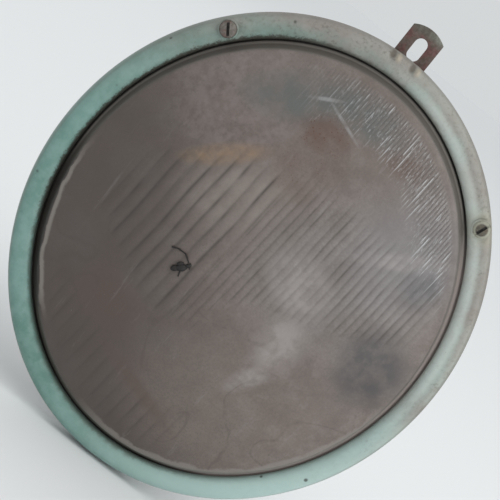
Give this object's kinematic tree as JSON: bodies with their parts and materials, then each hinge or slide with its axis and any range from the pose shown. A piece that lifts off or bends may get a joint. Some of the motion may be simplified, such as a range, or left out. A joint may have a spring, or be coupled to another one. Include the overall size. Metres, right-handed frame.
{
  "type": "headlamp",
  "caption": "Oval headlamp front unit: pressed rim with fixing tab, moulded lens, three-point adjustable reflector, main bulb and pilot bulb.",
  "frame": {"origin": "centre of the rim's back plane, where the unit seats on its bucket", "axes": "the lens faces -Y, the fixing tab points to +Z, +X is to the right seen from in front"},
  "size_m": [0.1806, 0.1155, 0.2136],
  "materials": {
    "rim_paint": "weathered satin",
    "tab_steel": "rusted",
    "lens_glass": "dusty moulded",
    "gasket_rubber": "matt",
    "zinc_steel": "dull plated",
    "spring_steel": "dull",
    "screw_steel": "corroded",
    "silvered_bowl": "tarnished mirror",
    "brass": "dull",
    "bulb_glass": "clear",
    "tungsten": "dull",
    "moulding": "matt"
  },
  "bodies": {
    "front_unit": {"rim": "rim_paint", "fixing_tab": "tab_steel", "lens": "lens_glass", "lens_gasket": "gasket_rubber", "clamp_ring": "zinc_steel", "spring_clip_1": "spring_steel", "spring_clip_2": "spring_steel", "spring_clip_3": "spring_steel", "spring_clip_4": "spring_steel", "spring_clip_5": "spring_steel", "spring_clip_6": "spring_steel", "pivot_bracket": "zinc_steel", "screw_washer_left": "rim_paint", "screw_washer_right": "rim_paint"},
    "left_adjuster": {"screw_left": "screw_steel", "circlip_left": "spring_steel"},
    "right_adjuster": {"screw_right": "screw_steel", "circlip_right": "spring_steel"},
    "ball_pivot": {"pivot_ball": "brass"},
    "optic": {"reflector": "silvered_bowl", "carrier_ring": "zinc_steel", "pivot_socket": "moulding", "adjuster_nut_left": "brass", "adjuster_nut_right": "brass", "bulb_collar": "zinc_steel", "pilot_sleeve": "zinc_steel"},
    "main_bulb": {"bulb_glass": "bulb_glass", "filament_main": "tungsten", "filament_dip": "tungsten", "dip_shield": "tungsten", "bulb_base": "brass", "bulb_flange": "zinc_steel", "bulb_holder": "moulding", "bulb_terminal_1": "brass", "bulb_terminal_2": "brass", "bulb_terminal_3": "brass"},
    "pilot_bulb": {"pilot_glass": "bulb_glass", "pilot_filament": "tungsten", "pilot_base": "brass", "pilot_holder": "moulding", "pilot_terminal": "brass"}
  },
  "joints": [
    {"name": "aim_left", "type": "hinge", "parent": "front_unit", "child": "ball_pivot", "pos_m": [0, 0.013, -0.085], "axis": [0.3707, 0, 0.9288], "range_deg": [-1, 1]},
    {"name": "aim_right", "type": "hinge", "parent": "ball_pivot", "child": "optic", "pos_m": [0, 0.013, -0.085], "axis": [-0.3707, 0, 0.9288], "range_deg": [-1, 1]},
    {"name": "screw_left_turn", "type": "hinge", "parent": "front_unit", "child": "left_adjuster", "pos_m": [-0.0608, 0, 0.06733], "axis": [0, 1, 0], "range_deg": [-720, 720]},
    {"name": "screw_right_turn", "type": "hinge", "parent": "front_unit", "child": "right_adjuster", "pos_m": [0.0608, 0, 0.06733], "axis": [0, 1, 0], "range_deg": [-720, 720]},
    {"name": "bulb_pull", "type": "slide", "parent": "optic", "child": "main_bulb", "axis": [0, 1, 0], "range_m": [0, 0.07]},
    {"name": "pilot_pull", "type": "slide", "parent": "optic", "child": "pilot_bulb", "axis": [0, 1, 0], "range_m": [0, 0.035]}
  ],
  "couplings": [
    {"joint": "screw_left_turn", "follows": "aim_left", "ratio": 709.6},
    {"joint": "screw_right_turn", "follows": "aim_right", "ratio": -709.6}
  ]
}
